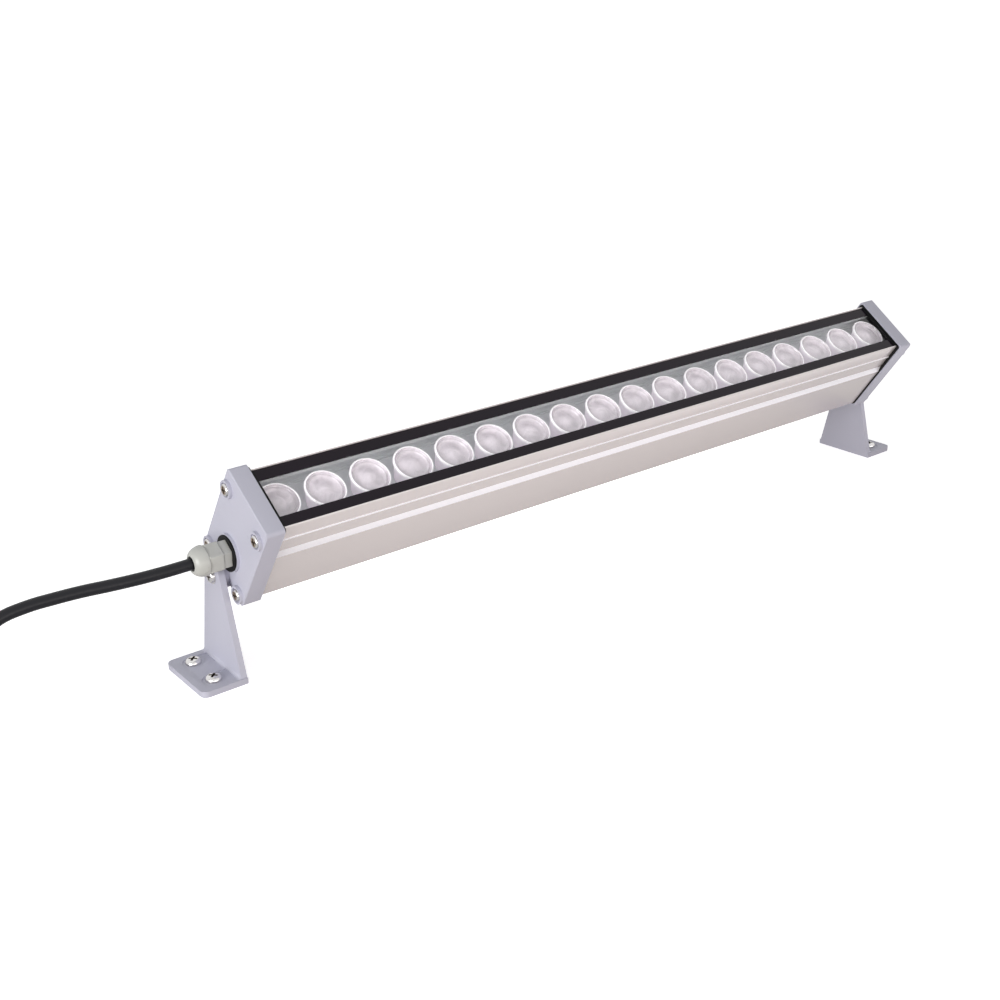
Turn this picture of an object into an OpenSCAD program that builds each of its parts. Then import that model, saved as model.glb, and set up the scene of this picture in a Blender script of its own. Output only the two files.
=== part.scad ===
// Linear wall washer light for outdoors: an extruded aluminium lamp head with a row of
// lenses under glass, two die-cast end caps, and two L-shaped brackets that it tilts on.
// Millimetres and degrees. +X runs along the lamp, the light shines to -Y and up, +Z is up.
// The origin is on the floor, in the middle of the light without its supply cable.

/* [Lens row] */
// Number of lenses in the row
lens_count = 18; // [6:1:24]
// Distance from one lens to the next
lens_pitch = 27; // [25:0.5:32]
// Diameter of a lens over its rim
lens_d = 22.5; // [20:0.5:23.5]
// Height of a lens above the circuit board
lens_h = 13.4; // [11:0.2:15]

/* [Housing] */
// Width of the housing below its shoulder
housing_w = 40.2; // [39:0.2:46]
// Width of the housing at the glass
head_w = 38; // [37:0.2:38.8]
// Height of the housing
housing_h = 58.8; // [56:0.2:70]
// Thickness of the housing's walls
wall = 2; // [1.6:0.1:2.2]
// Depth of the shoulder below the lip
shoulder_drop = 20.5; // [16:0.5:24]

/* [Glass] */
// Thickness of the glass
glass_t = 4; // [3:0.5:5]
// Clear width between the two black seals on the glass
window_w = 23.2; // [22:0.2:25]
// Thickness of the seals on the glass
seal_t = 0.8; // [0.5:0.1:1.2]

/* [End caps] */
// Thickness of an end cap
cap_t = 10.4; // [9.5:0.1:14]
// Depth that the housing's end and gasket reach into a cap
cap_cup = 4.7; // [3.5:0.1:5.5]
// Overhang of a cap all round the housing
cap_lap = 2; // [1.6:0.1:3]
// Radius of a cap's corners
cap_corner_r = 2.2; // [2:0.1:4]

/* [Brackets] */
// Lean of the lamp head towards the front, in degrees
lean = 35.4; // [0:0.2:60]
// Height of the pivot above the floor
pivot_height = 55; // [50:1:80]
// Width of a foot, along Y
foot_w = 44.4; // [40:0.2:60]
// Reach of a foot from the lamp's side of its arm
foot_reach = 25.6; // [24:0.2:36]
// Thickness of a foot
foot_t = 3.4; // [3:0.1:5]
// Thickness of an arm
arm_t = 3.4; // [2.8:0.1:4]
// Radius of an arm's rounded top
arm_top_r = 8.5; // [7:0.1:8.8]
// Gap between an arm and the flat of its end cap
arm_gap = 3.2; // [3.2:0.1:5]

/* [Cable gland] */
// Size of the gland's hexagons across the flats
gland_hex = 15; // [14:0.5:16]
// Height of the gland above the pivot, square to the glass
gland_rise = 18; // [18:0.5:22]
// Length of the gland's clamping nut
gland_nut_l = 15; // [13:0.2:20]
// Diameter of the supply cable
cable_d = 6.2; // [5.8:0.1:6.4]

/* [Hidden] */
$fn = 64;
// Overrun of every cut through a face
over = 1;
// Clearance of pieces that lie in each other
fit = 0.05;
// Clearance between faces that slide past each other
slide = 0.3;
// Finest face count, of small round details
small_fn = 32;

// Housing section: u runs from front to back and v away from the pivot axis towards the glass
pivot_rise = 1.55;
lip_rise = 0.6;
lip_t = 0.9;
lip_edge = 0.3;
ledge_t = 1.8;
ledge_room = 1.2;
lens_room = 1.6;
board_t = 1.6;
board_rib = 1.4;
board_rib_t = 1.2;
web_t = 3;
shoulder_h = 4.2;
bead_r = 0.5;
bead_drop = 10.6;
base_edge = 0.8;
base_groove = 2;
base_groove_pitch = 5;
base_groove_depth = 0.6;
base_groove_count = 6;
lens_end_gap = 1.6;
cap_base = -pivot_rise;
housing_base = cap_base + cap_lap;
lip_top = housing_base + housing_h;
cap_top = lip_top + cap_lap;
seal_top = lip_top - lip_rise;
glass_top = seal_top - seal_t;
ledge_top = glass_top - glass_t;
ledge_base = ledge_top - ledge_t;
lens_top = ledge_top - lens_room;
board_top = lens_top - lens_h;
board_base = board_top - board_t;
web_base = board_base - web_t;
floor_top = housing_base + wall;
lip_in = head_w / 2 - lip_t;
head_in = head_w / 2 - wall;
chamber_in = housing_w / 2 - wall;
ledge_in = window_w / 2 + ledge_room;
shoulder_top = lip_top - shoulder_drop;
cap_w = housing_w + 2 * cap_lap;
cap_h = cap_top - cap_base;

// Screws that hold the caps, and the ports that take them along the housing
cap_screw_r = 1.5;
cap_screw_l = 16;
cap_screw_head_r = 3.4;
cap_screw_head_h = 2;
cap_screw_sink = 0.9;
port_hole_r = cap_screw_r + fit;
port_skin = 0.85;
port_r = 2.8;
port_gap = 0.4;
port_base_rise = 2.35;
port_side_skin = 1.95;
port_high = [head_w / 2 - port_skin - port_hole_r, ledge_top - port_r - port_gap];
port_low = [housing_w / 2 - port_side_skin - port_hole_r, housing_base + port_base_rise];
ports = [for (side = [-1, 1], p = [port_low, port_high]) [side * p[0], p[1]]];

// Length of the lamp, built up from the lens row
gasket_flange = 1;
gasket_t = 0.7;
gasket_lip = 1.2;
gasket_flap = 2.2;
housing_len = (lens_count - 1) * lens_pitch + lens_d + 2 * lens_end_gap;
cap_floor = cap_t - cap_cup;
housing_end = cap_floor + gasket_flange;
lamp_len = housing_len + 2 * housing_end;

// End cap details
cap_edge = 0.5;
boss_r = 5;
boss_h = arm_gap - slide - (cap_screw_head_h - cap_screw_sink);
boss_well_fit = 0.6;
boss_well_r = cap_screw_head_r + boss_well_fit;
ear_r = 8;
ear_pad_r = 6.5;
ear_pad_h = arm_gap - slide;

// Pivot screws
pivot_screw_r = 2;
pivot_fit = 0.06;
pivot_head_r = 3.7;
pivot_head_h = 1.7;
pivot_washer_r = 4.3;
pivot_washer_t = 0.5;
pivot_end_skin = 0.6;

// Brackets
foot_corner_r = 4;
foot_fillet = 2.2;
foot_screw_x = 14.5;
foot_screw_spacing = 23.6;
foot_screw_r = 2.5;
foot_hole_fit = 0.25;
foot_head_r = 4.3;
foot_head_h = 3.2;
foot_pocket_r = 6;
foot_pocket_depth = 0.4;
foot_screw_lift = 0.4;
arm_in = lamp_len / 2 + arm_gap;
arm_out = arm_in + arm_t;

// Cable gland, measured outwards from the cap
gland_thread_r = 6;
gland_hole_fit = 0.1;
gland_boss_r = 10.4;
gland_boss_h = 1.4;
gland_washer_r = 9.8;
gland_washer_t = 1;
gland_flange_l = 4.4;
gland_flange_inset = 0.5;
gland_turn = 60;
gland_bore_fit = 0.3;
gland_mouth_fit = 0.8;
gland_bore_r = cable_d / 2 + gland_bore_fit;
gland_seal_r = 5;
gland_thread_gap = 1;
gland_lip_l = 2.4;
gland_nut_wall_share = 0.35;
gland_dome_share = 0.49;
gland_collar_share = 0.95;
gland_mouth_r = cable_d / 2 + gland_mouth_fit;
gland_lock_t = 3;
gland_lock_room = 0.3;
gland_hex_l = gland_nut_l * (1 - gland_dome_share);
gland_body_l = gland_hex_l - gland_thread_gap;
gland_seal_l = gland_nut_l - gland_body_l - gland_lip_l;
gland_seat = gland_boss_h + gland_washer_t;
gland_nut_start = gland_seat + gland_flange_l + fit;
gland_mouth = gland_nut_start + gland_nut_l;

// Inside the lamp
board_end_gap = 1.2;
led_side = 3.5;
led_base_h = 0.7;
led_dome_r = 1.4;
lens_rim_t = 1.6;
lens_rim_w = 0.9;
lens_dish = 1;
lens_foot_d = 16;
lens_neck_inset = 0.8;
lens_cup_r = 3.4;
lens_cup_h = 3.2;
driver_l = 150;
driver_w = 25;
driver_h = 22;
driver_start = 60;
driver_corner_r = 3;
driver_lid_t = 1.5;
driver_lid_inset = 1.2;
lead_d = 1.8;
lead_gap = 4;
lead_from_end = 14;
lead_hole_r = 5;

// Where the lamp stands: the origin is under the middle of its box
corner_u = cap_w / 2 - cap_corner_r;
corner_ys = [for (u = [-corner_u, corner_u], v = [cap_base + cap_corner_r, cap_top - cap_corner_r])
    u * cos(lean) - v * sin(lean)];
front_reach = max(foot_w / 2, cap_corner_r - min(corner_ys));
back_reach = max(foot_w / 2, cap_corner_r + max(corner_ys));
pivot_y = (front_reach - back_reach) / 2;

// Supply cable: hand-chosen points from the gland, through the air and down to the floor
cable_sides = 8;
coil_sides = 6;
tie_t = 1;
gland_y = pivot_y - gland_rise * sin(lean);
gland_z = pivot_height + gland_rise * cos(lean);
cable_gap = 0.1;
cable_start = [-lamp_len / 2 - gland_mouth - cable_gap, gland_y, gland_z];
coil_z = tie_t + cable_d / 2;
cable_points = [[-284, 4.8, 69.7], [-297, 5.7, 69.7], [-311, 8, 69.6], [-325, 11, 69.5],
    [-338, 12.5, 69.4], [-351, 13.5, 69], [-364.5, 14.5, 66.5], [-375.5, 15, 59],
    [-383, 15, 48], [-386, 15.5, 34.5], [-387, 17.5, 22.5], [-389, 23.5, 13], [-392, 32.5, 6.5]];

// Coil of the cable, one flat spiral wound inwards
coil_centre = [-438, 43];
coil_outer_r = 40;
coil_pitch = 7.4;
coil_turns = 2;
coil_start_angle = 18;
coil_steps = 24;
tie_w = 3.6;
tie_fit = 0.25;
tie_head = [5, 4.5, 5.5];
tie_angles = [108, 288];

// Bare end of the cable
core_d = 1.9;
core_sides = 8;
core_l = 24;
core_tip_l = 7;
core_tip_d = 1.2;
core_spread = 1.3;
core_shift = 0.3;
core_straight = 0.6;
core_turns = [86, 120, 178];

function two_digits(i) = str(i < 10 ? "0" : "", i);
function lens_name(i) = str("lens_", two_digits(i));

// Helpers

// Extrudes a section drawn as u and v along X, from x = from to x = to
module along_x(from, to) {
    translate([from, 0, 0])
        rotate([90, 0, 90])
            linear_extrude(to - from)
                children();
}

// A cylinder along X
module rod(r, from, to, fn = small_fn) {
    translate([from, 0, 0])
        rotate([0, 90, 0])
            cylinder(r = r, h = to - from, $fn = fn);
}

// A profile of radius and height turned about -X, starting at x = from
module turned_outwards(from, fn = $fn) {
    translate([from, 0, 0])
        rotate([0, -90, 0])
            rotate_extrude($fn = fn)
                children();
}

// Puts a piece that is drawn upright about the pivot axis where the lamp head leans
module lamp() {
    translate([0, pivot_y, pivot_height])
        rotate([lean, 0, 0])
            children();
}

// The left end of the lamp: x = 0 is the outer face of the cap and -x points away from it
module left_end() {
    translate([-lamp_len / 2, 0, 0])
        children();
}

// The right end is the same, mirrored
module right_end() {
    mirror([1, 0, 0])
        left_end()
            children();
}

module rounded_rect(low, high, r) {
    translate([low[0] + r, low[1]])
        square([high[0] - low[0] - 2 * r, high[1] - low[1]]);
    translate([low[0], low[1] + r])
        square([high[0] - low[0], high[1] - low[1] - 2 * r]);
    for (u = [low[0] + r, high[0] - r], v = [low[1] + r, high[1] - r])
        translate([u, v])
            circle(r = r, $fn = small_fn);
}

// A band of the section that is symmetric about u = 0
module band(half_width, low, high) {
    translate([-half_width, low])
        square([2 * half_width, high - low]);
}

// Pan head, drawn as a half profile from its flat underside
module pan_profile(r, h) {
    edge_share = 0.45;
    crown_share = 0.72;
    polygon([[0, 0], [r, 0], [r, edge_share * h], [crown_share * r, h - (1 - edge_share) * h / 3], [0, h]]);
}

// Cross recess for a driver, sunk below z = 0
module cross_recess(r, depth) {
    blade_share = 0.34;
    for (turn = [45, 135])
        rotate([0, 0, turn])
            translate([-r, -blade_share * r, -depth])
                cube([2 * r, 2 * blade_share * r, depth + over]);
}

// A screw along Z: the head stands on z = 0 and the shank hangs below
module cross_screw(shank_r, shank_l, head_r, head_h) {
    recess_share = 0.55;
    difference() {
        rotate_extrude($fn = small_fn)
            pan_profile(head_r, head_h);
        translate([0, 0, head_h])
            cross_recess(recess_share * head_r, recess_share * head_h);
    }
    translate([0, 0, -shank_l])
        cylinder(r = shank_r, h = shank_l, $fn = small_fn);
}

// The same screw along X, driven in from the left
module side_screw(x, shank_r, shank_l, head_r, head_h) {
    translate([x, 0, 0])
        rotate([0, -90, 0])
            cross_screw(shank_r, shank_l, head_r, head_h);
}

// Housing

module housing_outline() {
    half = [[housing_w / 2 - base_edge, housing_base], [housing_w / 2, housing_base + base_edge],
        [housing_w / 2, shoulder_top - shoulder_h], [head_w / 2, shoulder_top],
        [head_w / 2, lip_top - lip_edge], [head_w / 2 - lip_edge, lip_top]];
    polygon(concat(half, [for (i = [len(half) - 1:-1:0]) [-half[i][0], half[i][1]]]));
}

module housing_section() {
    difference() {
        union() {
            difference() {
                union() {
                    housing_outline();
                    for (side = [-1, 1])
                        translate([side * head_w / 2, lip_top - bead_drop])
                            circle(r = bead_r, $fn = small_fn);
                }
                band(lip_in, ledge_top, lip_top + over);
                band(ledge_in, ledge_base - over, ledge_top + over);
                difference() {
                    band(head_in, board_base, ledge_base);
                    for (side = [-1, 1])
                        translate([side * (head_in + over) - (side < 0 ? 0 : board_rib + over), board_top + fit])
                            square([board_rib + over, board_rib_t]);
                }
                band(chamber_in, floor_top, web_base);
                for (i = [0:base_groove_count - 1])
                    translate([(i - (base_groove_count - 1) / 2) * base_groove_pitch - base_groove / 2,
                               housing_base - over])
                        square([base_groove, base_groove_depth + over]);
            }
            intersection() {
                housing_outline();
                for (p = ports)
                    translate(p)
                        circle(r = port_r, $fn = small_fn);
            }
        }
        for (p = ports)
            translate(p)
                circle(r = port_hole_r, $fn = small_fn);
    }
}

module housing() {
    color("lightgray")
        lamp()
            difference() {
                along_x(-housing_len / 2, housing_len / 2)
                    housing_section();
                translate([lead_x(), 0, web_base - over])
                    cylinder(r = lead_hole_r, h = web_t + 2 * over, $fn = small_fn);
                left_end()
                    locknut_room(housing_end - over);
            }
}

// Room for the gland's locknut, which matters where the housing is so low that its web comes near
module locknut_room(from) {
    translate([0, 0, gland_rise])
        rod(gland_hex / sqrt(3) + gland_lock_room, from, cap_floor + gland_lock_t + gland_lock_room);
}

// Glass and its seals

module glass_cover() {
    color([0.75, 0.85, 0.82, 0.4])
        lamp()
            along_x(-housing_len / 2, housing_len / 2)
                band(lip_in - fit, ledge_top, glass_top);
}

module glass_seal(side) {
    color("black")
        lamp()
            along_x(-housing_len / 2, housing_len / 2)
                translate([side < 0 ? -lip_in + fit : window_w / 2, glass_top])
                    square([lip_in - fit - window_w / 2, seal_t]);
}

// Light sources

function lens_x(i) = (i - (lens_count + 1) / 2) * lens_pitch;

module led_board() {
    color("white")
        lamp()
            along_x(board_end_gap - housing_len / 2, housing_len / 2 - board_end_gap)
                band(head_in - fit, board_base, board_top);
}

module led_chips() {
    color("khaki")
        lamp()
            for (i = [1:lens_count])
                translate([lens_x(i), 0, board_top]) {
                    translate([-led_side / 2, -led_side / 2, 0])
                        cube([led_side, led_side, led_base_h]);
                    translate([0, 0, led_base_h - fit])
                        intersection() {
                            sphere(r = led_dome_r, $fn = small_fn);
                            translate([-led_side, -led_side, 0])
                                cube([2 * led_side, 2 * led_side, led_side]);
                        }
                }
}

// Half profile of a lens: a drum that widens to a flat rim, a dished top and a cup over the chip
module lens_profile() {
    rim_r = lens_d / 2;
    neck_r = rim_r - lens_neck_inset;
    dish_r = rim_r - lens_rim_w;
    dish_steps = 6;
    dish = [for (i = [0:dish_steps])
        let (t = i / dish_steps)
        [dish_r * (1 - t), lens_h - lens_dish * sin(90 * t)]];
    polygon(concat(
        [[lens_cup_r, 0], [lens_foot_d / 2, 0], [neck_r, lens_h - lens_rim_t - lens_neck_inset],
         [rim_r, lens_h - lens_rim_t], [rim_r, lens_h]],
        dish,
        [[0, lens_cup_h], [lens_cup_r, lens_cup_h]]));
}

module lens(i) {
    color("whitesmoke")
        lamp()
            translate([lens_x(i), 0, board_top])
                rotate_extrude()
                    lens_profile();
}

// Driver, sealed in the chamber below the board

function driver_left() = driver_start - housing_len / 2;
function lead_x() = driver_left() + lead_from_end;

module driver() {
    color("dimgray")
        lamp() {
            translate([driver_left(), 0, floor_top])
                linear_extrude(driver_h - driver_lid_t)
                    rounded_rect([0, -driver_w / 2], [driver_l, driver_w / 2], driver_corner_r);
            translate([driver_left(), 0, floor_top + driver_h - driver_lid_t])
                linear_extrude(driver_lid_t)
                    rounded_rect([driver_lid_inset, driver_lid_inset - driver_w / 2],
                                 [driver_l - driver_lid_inset, driver_w / 2 - driver_lid_inset],
                                 driver_corner_r - driver_lid_inset);
        }
}

module driver_leads() {
    color("crimson")
        lamp()
            for (side = [-1, 1])
                translate([lead_x(), side * lead_gap / 2, floor_top + driver_h])
                    cylinder(d = lead_d, h = board_base - floor_top - driver_h, $fn = small_fn);
}

// The cable's sheath from the gland's mouth to the driver
module supply_lead() {
    color("black")
        lamp()
            translate([0, 0, gland_rise])
                rod(cable_d / 2, -lamp_len / 2 - gland_mouth, driver_left());
}

// End caps

// Cap block with its outer edges chamfered: the room that three crossed sections share
module cap_block() {
    intersection() {
        along_x(0, cap_t)
            rounded_rect([-cap_w / 2, cap_base], [cap_w / 2, cap_top], cap_corner_r);
        translate([0, -cap_w / 2, 0])
            rotate([-90, 0, 0])
                linear_extrude(cap_w)
                    polygon([[0, -cap_base - cap_edge], [cap_edge, -cap_base], [cap_t, -cap_base],
                        [cap_t, -cap_top], [cap_edge, -cap_top], [0, cap_edge - cap_top]]);
        translate([0, 0, cap_base])
            linear_extrude(cap_h)
                polygon([[0, cap_edge - cap_w / 2], [cap_edge, -cap_w / 2], [cap_t, -cap_w / 2],
                    [cap_t, cap_w / 2], [cap_edge, cap_w / 2], [0, cap_w / 2 - cap_edge]]);
    }
}

// Outline of the hollow that takes the housing's end and its gasket
module cup_outline() {
    rounded_rect([-housing_w / 2 - gasket_t, housing_base - gasket_t],
                 [housing_w / 2 + gasket_t, lip_top + gasket_t], cap_corner_r - gasket_t);
}

module end_cap(with_gland) {
    difference() {
        union() {
            cap_block();
            for (p = ports)
                translate([0, p[0], p[1]])
                    rod(boss_r, -boss_h, cap_floor);
            rod(ear_r, 0, cap_t, $fn);
            rod(ear_pad_r, -ear_pad_h, over);
            if (with_gland)
                translate([0, 0, gland_rise])
                    rod(gland_boss_r, -gland_boss_h, over, $fn);
        }
        along_x(cap_floor, cap_t + over)
            cup_outline();
        for (p = ports)
            translate([0, p[0], p[1]]) {
                rod(cap_screw_r + gland_hole_fit, -boss_h - over, cap_t);
                rod(boss_well_r, -boss_h - over, cap_screw_sink - boss_h);
            }
        rod(pivot_screw_r + fit, -ear_pad_h - over, cap_floor - pivot_end_skin);
        if (with_gland)
            translate([0, 0, gland_rise])
                rod(gland_thread_r + gland_hole_fit, -gland_boss_h - over, cap_t);
    }
}

module left_end_cap() {
    color("lavender")
        lamp()
            left_end()
                end_cap(true);
}

module right_end_cap() {
    color("lavender")
        lamp()
            right_end()
                end_cap(false);
}

// Section of the housing with its glass and seals in place, filled
module filled_section() {
    difference() {
        housing_outline();
        band(lip_in, seal_top, lip_top + over);
        band(window_w / 2, glass_top, lip_top + over);
    }
}

// Moulded gasket: a flange behind the housing's end, a sleeve in the cup, a lip outside it
// and a wider flap where it lies on the glass
module gasket() {
    flap_low = glass_top;
    along_x(cap_floor + fit, housing_end - fit)
        difference() {
            rounded_rect([-housing_w / 2 - gasket_t + fit, housing_base - gasket_t + fit],
                             [housing_w / 2 + gasket_t - fit, lip_top + gasket_t - fit],
                             cap_corner_r - gasket_t);
            band(chamber_in, floor_top, web_base);
            for (p = ports)
                translate(p)
                    circle(r = port_hole_r, $fn = small_fn);
        }
    along_x(housing_end - fit, cap_t + gasket_lip)
        difference() {
            rounded_rect([-housing_w / 2 - gasket_t + fit, housing_base - gasket_t + fit],
                         [housing_w / 2 + gasket_t - fit, lip_top + gasket_t - fit],
                         cap_corner_r - gasket_t);
            filled_section();
            for (side = [-1, 1])
                translate([side * head_w / 2, lip_top - bead_drop])
                    circle(r = bead_r, $fn = small_fn);
        }
    along_x(cap_t + gasket_lip - fit, cap_t + gasket_flap)
        difference() {
            band(lip_in - fit, flap_low, lip_top);
            filled_section();
        }
}

module left_gasket() {
    color("black")
        lamp()
            left_end()
                difference() {
                    gasket();
                    locknut_room(cap_floor - over);
                }
}

module right_gasket() {
    color("black")
        lamp()
            right_end()
                gasket();
}

module cap_screws() {
    for (p = ports)
        translate([0, p[0], p[1]])
            side_screw(cap_screw_sink - boss_h, cap_screw_r, cap_screw_l, cap_screw_head_r, cap_screw_head_h);
}

module left_cap_screws() {
    color("silver")
        lamp()
            left_end()
                cap_screws();
}

module right_cap_screws() {
    color("silver")
        lamp()
            right_end()
                cap_screws();
}

// Cable gland

module at_gland() {
    lamp()
        left_end()
            translate([0, 0, gland_rise])
                children();
}

// A hexagonal bar along X
module hex_bar(across, from, to) {
    rotate([gland_turn, 0, 0])
        along_x(from, to)
            circle(r = across / sqrt(3), $fn = 6);
}

module gland_washer() {
    color("black")
        at_gland()
            difference() {
                rod(gland_washer_r, -gland_seat, -gland_boss_h, $fn);
                rod(gland_thread_r + gland_hole_fit, -gland_seat - over, over - gland_boss_h);
            }
}

module gland_body() {
    nut_wall = gland_nut_wall_share * (gland_hex / 2 - cable_d / 2);
    color("gainsboro")
        at_gland()
            difference() {
                union() {
                    rod(gland_thread_r, -gland_seat - over, cap_floor + gland_lock_t + over, $fn);
                    hex_bar(gland_hex - 2 * gland_flange_inset, -gland_seat - gland_flange_l, -gland_seat);
                    rod(gland_hex / 2 - nut_wall, -gland_nut_start - gland_body_l, -gland_seat - over, $fn);
                }
                rod(gland_bore_r, -gland_mouth, cap_t + gland_lock_t);
            }
}

module gland_seal() {
    start = gland_nut_start + gland_body_l;
    color("black")
        at_gland()
            difference() {
                rod(gland_seal_r, -start - gland_seal_l, -start);
                rod(cable_d / 2 + fit, -start - gland_seal_l - over, over - start);
            }
}

// Clamping nut: a hexagonal length, then a dome with the mouth for the cable
module gland_nut() {
    dome_l = gland_nut_l - gland_hex_l;
    dome_r = gland_collar_share * gland_hex / sqrt(3);
    dome_steps = 6;
    nut_wall = gland_nut_wall_share * (gland_hex / 2 - cable_d / 2);
    dome = [for (i = [0:dome_steps])
        let (t = 90 * i / dome_steps)
        [gland_mouth_r + (dome_r - gland_mouth_r) * cos(t), dome_l * sin(t)]];
    color("gainsboro")
        at_gland()
            difference() {
                union() {
                    hex_bar(gland_hex, -gland_nut_start - gland_hex_l, -gland_nut_start);
                    turned_outwards(-gland_nut_start - gland_hex_l)
                        polygon(concat([[0, -over], [gland_hex / 2 - nut_wall / 2, -over],
                            [gland_hex / 2 - nut_wall / 2, 0]], dome, [[0, dome_l]]));
                }
                rod(gland_hex / 2 - nut_wall + fit, -gland_nut_start - gland_body_l - fit, over - gland_nut_start, $fn);
                rod(gland_seal_r + fit, -gland_nut_start - gland_body_l - gland_seal_l - fit, -gland_nut_start, $fn);
                rod(gland_mouth_r, -gland_mouth - over, -gland_nut_start, $fn);
            }
}

module gland_locknut() {
    color("gainsboro")
        at_gland()
            difference() {
                hex_bar(gland_hex, cap_floor, cap_floor + gland_lock_t);
                rod(gland_thread_r + fit, cap_floor - over, cap_floor + gland_lock_t + over, $fn);
            }
}

// Pivots

module pivot_screw() {
    head_x = -arm_gap - arm_t - fit - pivot_washer_t;
    side_screw(head_x, pivot_screw_r, cap_floor - pivot_end_skin - fit - head_x, pivot_head_r, pivot_head_h);
}

module pivot_washer() {
    face = -arm_gap - arm_t - fit;
    difference() {
        rod(pivot_washer_r, face - pivot_washer_t, face);
        rod(pivot_screw_r + fit, face - pivot_washer_t - over, face + over);
    }
}

module left_pivot_screw() {
    color("silver")
        lamp()
            left_end()
                pivot_screw();
}

module right_pivot_screw() {
    color("silver")
        lamp()
            right_end()
                pivot_screw();
}

module left_pivot_washer() {
    color("silver")
        lamp()
            left_end()
                pivot_washer();
}

module right_pivot_washer() {
    color("silver")
        lamp()
            right_end()
                pivot_washer();
}

// Brackets, drawn for the right end and turned round for the left

// Outline of an arm: its sides run from the foot's corners up into the round top
module arm_outline() {
    base = foot_w / 2;
    inner_r = arm_top_r - fit;
    side_lean = atan2(base, pivot_height) - asin(inner_r / norm([base, pivot_height]));
    touch = [inner_r * cos(side_lean), pivot_height + inner_r * sin(side_lean)];
    polygon([[-base, 0], [base, 0], touch, [-touch[0], touch[1]]]);
    translate([0, pivot_height])
        circle(r = arm_top_r);
}

module foot_outline() {
    outer = arm_in + foot_reach;
    translate([arm_in, -foot_w / 2])
        square([foot_reach - foot_corner_r, foot_w]);
    translate([arm_in, foot_corner_r - foot_w / 2])
        square([foot_reach, foot_w - 2 * foot_corner_r]);
    for (side = [-1, 1])
        translate([outer - foot_corner_r, side * (foot_w / 2 - foot_corner_r)])
            circle(r = foot_corner_r, $fn = small_fn);
}

// Profile of the bent plate: an arm, a foot and the fillet between them, x against z
module bracket_profile() {
    translate([arm_in, 0])
        square([arm_t, pivot_height + arm_top_r]);
    translate([arm_in, 0])
        square([foot_reach, foot_t]);
    difference() {
        translate([arm_out - over, foot_t - over])
            square(foot_fillet + over);
        translate([arm_out + foot_fillet, foot_t + foot_fillet])
            circle(r = foot_fillet, $fn = small_fn);
    }
}

// Recess round a screw, open towards the arm and stopping in the fillet
module foot_pocket() {
    fillet_share = 0.4;
    start = arm_out + fillet_share * foot_fillet;
    depth = foot_fillet + foot_pocket_depth;
    translate([arm_in + foot_screw_x, 0, foot_t - foot_pocket_depth])
        cylinder(r = foot_pocket_r, h = depth, $fn = small_fn);
    translate([start, -foot_pocket_r, foot_t - foot_pocket_depth])
        cube([arm_in + foot_screw_x - start, 2 * foot_pocket_r, depth]);
}

module bracket() {
    translate([0, pivot_y, 0])
        difference() {
            intersection() {
                translate([0, foot_w / 2, 0])
                    rotate([90, 0, 0])
                        linear_extrude(foot_w)
                            bracket_profile();
                union() {
                    along_x(arm_in - over, arm_out + foot_fillet + over)
                        arm_outline();
                    linear_extrude(foot_t)
                        foot_outline();
                }
            }
            for (side = [-1, 1])
                translate([0, side * foot_screw_spacing / 2, 0]) {
                    foot_pocket();
                    translate([arm_in + foot_screw_x, 0, -over])
                        cylinder(r = foot_screw_r + foot_hole_fit, h = foot_t + over, $fn = small_fn);
                }
            translate([0, 0, pivot_height])
                rod(pivot_screw_r + pivot_fit, arm_in - over, arm_out + over, $fn);
        }
}

module foot_screws() {
    seat = foot_t - foot_pocket_depth;
    for (side = [-1, 1])
        translate([arm_in + foot_screw_x, pivot_y + side * foot_screw_spacing / 2, seat])
            cross_screw(foot_screw_r, seat - foot_screw_lift, foot_head_r, foot_head_h);
}

module left_bracket() {
    color("lavender")
        mirror([1, 0, 0])
            bracket();
}

module right_bracket() {
    color("lavender")
        bracket();
}

module left_foot_screws() {
    color("silver")
        mirror([1, 0, 0])
            foot_screws();
}

module right_foot_screws() {
    color("silver")
        foot_screws();
}

// Supply cable

function unit(v) = v / norm(v);

// Direction of a path at point i, straight along the ends
function heading(path, i) = unit(path[min(i + 1, len(path) - 1)] - path[max(i - 1, 0)]);

// Ring of points round point i of a path, square to the path
function ring(path, i, r, sides) =
    let (t = heading(path, i))
    let (side = unit(cross([0, 0, 1], abs(t[2]) > 0.9 ? unit([t[0], t[1], 0.2]) : t)))
    let (s = unit(side - (side * t) * t))
    let (up = cross(t, s))
    [for (k = [0:sides - 1]) path[i] + r * (cos(360 * k / sides) * s + sin(360 * k / sides) * up)];

// A tube of triangles swept along a path; radii holds one radius per point
module tube(path, radii, sides) {
    n = len(path);
    points = concat([for (i = [0:n - 1]) each ring(path, i, radii[i], sides)], [path[0], path[n - 1]]);
    walls = [for (i = [0:n - 2], k = [0:sides - 1])
        let (a = i * sides + k, b = i * sides + (k + 1) % sides)
        each [[a, b, b + sides], [a, b + sides, a + sides]]];
    first_end = [for (k = [0:sides - 1]) [n * sides, (k + 1) % sides, k]];
    last_end = [for (k = [0:sides - 1]) [n * sides + 1, (n - 1) * sides + k, (n - 1) * sides + (k + 1) % sides]];
    polyhedron(points, concat(walls, first_end, last_end));
}

// A smooth curve through points: each span is cut in steps, with tangents from its neighbours
function smooth(p, steps) = concat(
    [for (i = [0:len(p) - 2], k = [0:steps - 1])
        let (a = p[max(i - 1, 0)], b = p[i], c = p[i + 1], d = p[min(i + 2, len(p) - 1)], t = k / steps)
        b + (c - a) / 2 * t + (a - 2.5 * b + 2 * c - d / 2) * t * t + (1.5 * b - a / 2 - 1.5 * c + d / 2) * t * t * t],
    [p[len(p) - 1]]);

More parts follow.
